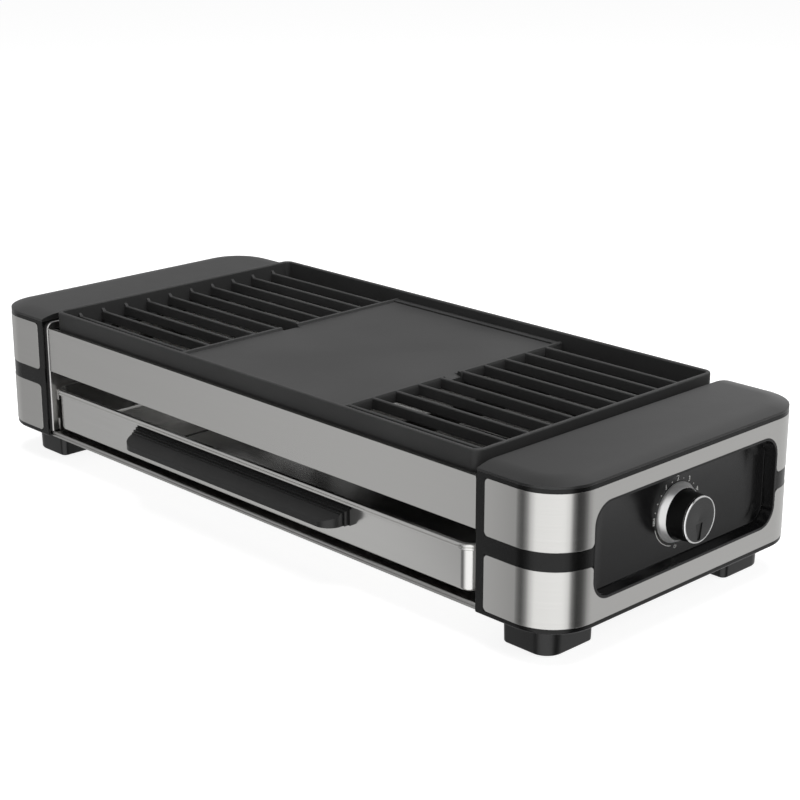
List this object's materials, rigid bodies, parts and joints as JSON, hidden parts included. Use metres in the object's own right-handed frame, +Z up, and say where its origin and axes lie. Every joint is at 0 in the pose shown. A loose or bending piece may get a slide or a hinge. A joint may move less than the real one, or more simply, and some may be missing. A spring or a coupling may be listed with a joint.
{
  "type": "electric grill pan",
  "caption": "electric table grill with a ribbed and flat cast plate, black and brushed steel end housings, a heat knob at one end and a drip tray that slides out below",
  "frame": {"origin": "under the middle of the bounding box, on the plane of the soles of the feet", "axes": "+X along the grill towards the end with the heat knob, -Y towards the side that the drip tray slides out of, +Z up"},
  "size_m": [0.596, 0.268, 0.1241],
  "materials": {
    "shell": "gloss",
    "moulding": "satin",
    "band": "brushed",
    "trim": "polished",
    "steel": "satin",
    "ceramic": "matte",
    "element": "matte",
    "lead": "matte",
    "rubber": "matte",
    "tray": "satin",
    "plate": "black non-stick coat, satin"
  },
  "bodies": {
    "base": {"housing_right": "shell", "housing_left": "shell", "top_cover_right": "shell", "top_cover_left": "shell", "base_plate_right": "moulding", "base_plate_left": "moulding", "band_upper_right": "band", "band_lower_right": "band", "band_upper_left": "band", "band_lower_left": "band", "control_panel": "shell", "dial_ring": "trim", "thermostat_body": "ceramic", "thermostat_bracket": "steel", "thermostat_screws": "steel", "side_sheet_right": "steel", "side_sheet_left": "steel", "chassis_floor": "steel", "front_panel": "band", "back_panel": "band", "tray_rail_right": "steel", "tray_rail_left": "steel", "plate_ledge_right": "steel", "plate_ledge_left": "steel", "element_carrier_right": "steel", "element_carrier_left": "steel", "heating_element": "element", "element_bushes": "ceramic", "element_terminals": "steel", "terminal_block": "ceramic", "thermal_fuse": "ceramic", "internal_leads": "lead", "cord_gland": "rubber", "cord_clamp": "moulding", "foot_front_right": "moulding", "foot_front_left": "moulding", "foot_back_right": "moulding", "foot_back_left": "moulding", "foot_pads": "rubber", "foot_screws": "steel", "base_screws": "steel", "chassis_screws": "steel", "panel_rivets": "steel"},
    "tray": {"tray": "tray", "tray_handle": "moulding", "handle_screws": "steel"},
    "plate": {"grill_plate": "plate"},
    "knob": {"knob_body": "moulding", "knob_trim": "trim", "knob_insert": "moulding", "knob_clip": "steel", "thermostat_spindle": "steel"}
  },
  "joints": [
    {"name": "tray_slide", "type": "slide", "parent": "base", "child": "tray", "axis": [0, -1, 0], "range_m": [0, 0.24]},
    {"name": "plate_lift", "type": "slide", "parent": "base", "child": "plate", "axis": [0, 0, 1], "range_m": [0, 0.06]},
    {"name": "knob_turn", "type": "hinge", "parent": "base", "child": "knob", "pos_m": [0.29, 0.006, 0.0703], "axis": [-1, 0, 0], "range_deg": [0, 273]}
  ]
}
